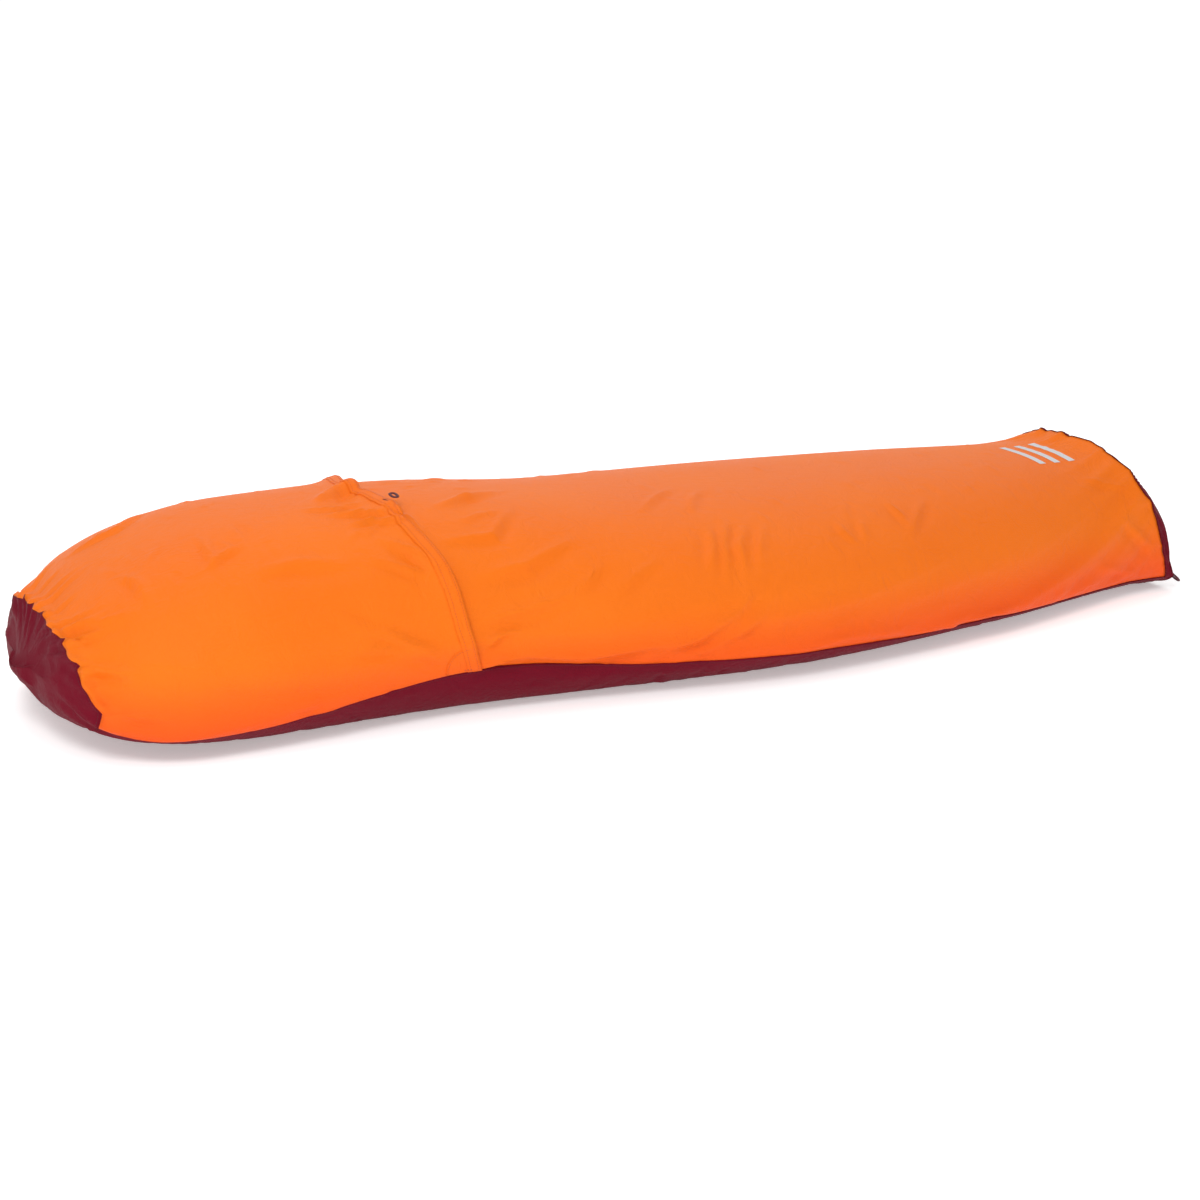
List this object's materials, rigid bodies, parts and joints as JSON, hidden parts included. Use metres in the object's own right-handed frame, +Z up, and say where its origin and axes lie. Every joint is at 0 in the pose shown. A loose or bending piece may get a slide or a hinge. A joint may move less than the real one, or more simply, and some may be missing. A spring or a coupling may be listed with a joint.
{
  "type": "bivy sack",
  "caption": "Long low one-person shelter sack of orange cloth on a dark red coated floor, with a hood that overlaps the body panel at the chest and lifts for entry.",
  "frame": {"origin": "on the ground, under the middle of the sack's length", "axes": "+X towards the foot end, +Y to the left of a person lying on their back with the head at -X, +Z up"},
  "size_m": [2.0681, 0.7146, 0.3253],
  "materials": {
    "top_cloth": "orange waterproof breathable ripstop cloth with a soft satin sheen",
    "hem_cloth": "the same orange cloth folded double",
    "floor_cloth": "dark red coated floor cloth, slightly glossy",
    "seam_tape": "translucent grey heat-bonded seam tape",
    "thread": "orange sewing thread",
    "dark_thread": "dark red sewing thread",
    "webbing": "dark red woven webbing and cord",
    "print_ink": "light grey screen print"
  },
  "bodies": {
    "bag": {"floor_panel": "floor_cloth", "head_end_panel": "floor_cloth", "foot_end_panel": "floor_cloth", "hood_panel": "top_cloth", "body_top_panel": "top_cloth", "hem_end_left": "hem_cloth", "hem_end_right": "hem_cloth", "hem_end_stitching_left": "thread", "hem_end_stitching_right": "thread", "corner_patch_left": "hem_cloth", "corner_patch_right": "hem_cloth", "corner_bartack_left": "thread", "corner_bartack_right": "thread", "side_seam_tape_left": "seam_tape", "side_seam_tape_right": "seam_tape", "foot_seam_tape": "seam_tape", "head_seam_tape": "seam_tape", "hood_seam_tape_left": "seam_tape", "hood_seam_tape_right": "seam_tape", "head_seam_stitching": "thread", "foot_seam_stitching": "thread", "side_seam_stitching_left": "thread", "side_seam_stitching_right": "thread", "print_mark": "print_ink", "foot_loop_tab_left": "webbing", "foot_loop_tab_right": "webbing"},
    "hood_flap": {"hood_flap_panel": "top_cloth", "hood_hem": "hem_cloth", "hood_hem_stitching": "thread", "hang_loop_bartack": "dark_thread"},
    "chest_flap": {"chest_flap_panel": "top_cloth", "chest_flap_hem": "hem_cloth", "chest_flap_stitching": "thread"},
    "hang_loop": {"hang_loop": "webbing"},
    "foot_loop_left": {"foot_loop_left": "webbing"},
    "foot_loop_right": {"foot_loop_right": "webbing"}
  },
  "joints": [
    {"name": "hood_flap_lift", "type": "hinge", "parent": "bag", "child": "hood_flap", "pos_m": [-0.705, 0, 0.31727], "axis": [0, -1, 0], "range_deg": [0, 40]},
    {"name": "chest_flap_fold", "type": "hinge", "parent": "bag", "child": "chest_flap", "pos_m": [-0.499, 0, 0.27712], "axis": [0, -1, 0], "range_deg": [0, 25]},
    {"name": "hang_loop_swing", "type": "hinge", "parent": "hood_flap", "child": "hang_loop", "pos_m": [-0.46123, -0.092, 0.31596], "axis": [0, -0.9879, -0.1553], "range_deg": [0, 128]},
    {"name": "foot_loop_left_swing", "type": "hinge", "parent": "bag", "child": "foot_loop_left", "pos_m": [1.0259, 0.198, 0.028], "axis": [0, -1, 0], "range_deg": [0, 110]},
    {"name": "foot_loop_right_swing", "type": "hinge", "parent": "bag", "child": "foot_loop_right", "pos_m": [1.0259, -0.198, 0.028], "axis": [0, -1, 0], "range_deg": [0, 110]}
  ]
}
